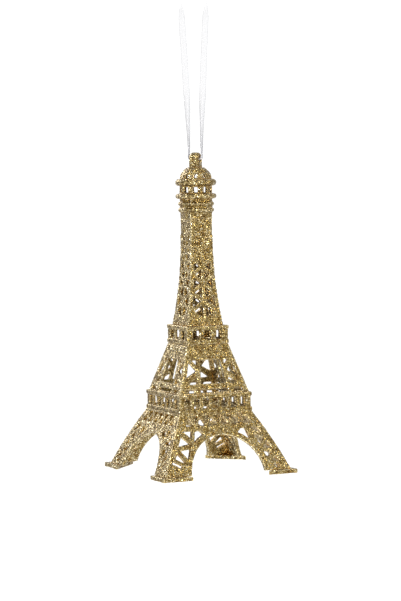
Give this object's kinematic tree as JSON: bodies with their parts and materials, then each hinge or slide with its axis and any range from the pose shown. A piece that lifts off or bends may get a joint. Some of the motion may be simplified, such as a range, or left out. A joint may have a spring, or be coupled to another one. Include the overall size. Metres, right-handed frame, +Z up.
{
  "type": "christmas ornament",
  "caption": "Hanging openwork lattice tower ornament with arched base, two square galleries, round lantern and a sheer ribbon loop through its eye.",
  "frame": {"origin": "top inside of the ribbon loop, where a hook or twig carries the ornament", "axes": "+Z up along the tower's axis, -Y out of the front face, X across the front face; the hole of the hanging eye runs level from the back left to the front right corner"},
  "size_m": [0.064, 0.064, 0.2227],
  "materials": {
    "gold_glitter": "moulded plastic covered with coarse metallic gold glitter flakes",
    "sheer_ribbon": "sheer white organza ribbon with closed edges"
  },
  "bodies": {
    "ribbon": {"ribbon_right": "sheer_ribbon", "ribbon_left": "sheer_ribbon", "ribbon_knot": "sheer_ribbon"},
    "bight": {"ribbon_bight": "sheer_ribbon"},
    "tower": {"foot_front_left": "gold_glitter", "foot_front_right": "gold_glitter", "foot_back_right": "gold_glitter", "foot_back_left": "gold_glitter", "base_panel_front": "gold_glitter", "base_panel_right": "gold_glitter", "base_panel_back": "gold_glitter", "base_panel_left": "gold_glitter", "first_gallery": "gold_glitter", "middle_panel_front": "gold_glitter", "middle_panel_right": "gold_glitter", "middle_panel_back": "gold_glitter", "middle_panel_left": "gold_glitter", "second_gallery": "gold_glitter", "shaft_panel_front": "gold_glitter", "shaft_panel_right": "gold_glitter", "shaft_panel_back": "gold_glitter", "shaft_panel_left": "gold_glitter", "capital": "gold_glitter", "lower_ring": "gold_glitter", "lantern_cage": "gold_glitter", "upper_ring": "gold_glitter", "dome": "gold_glitter", "hanging_eye": "gold_glitter"}
  },
  "joints": [
    {"name": "ribbon_twist", "type": "hinge", "parent": "ribbon", "child": "bight", "pos_m": [0, 0, -0.072], "axis": [0, 0, 1], "range_deg": [-90, 90], "stiffness_Nm_per_rad": 0.00005},
    {"name": "tower_swing", "type": "hinge", "parent": "bight", "child": "tower", "pos_m": [0, 0, -0.076], "axis": [0.7071, -0.7071, 0], "range_deg": [-75, 75]}
  ]
}
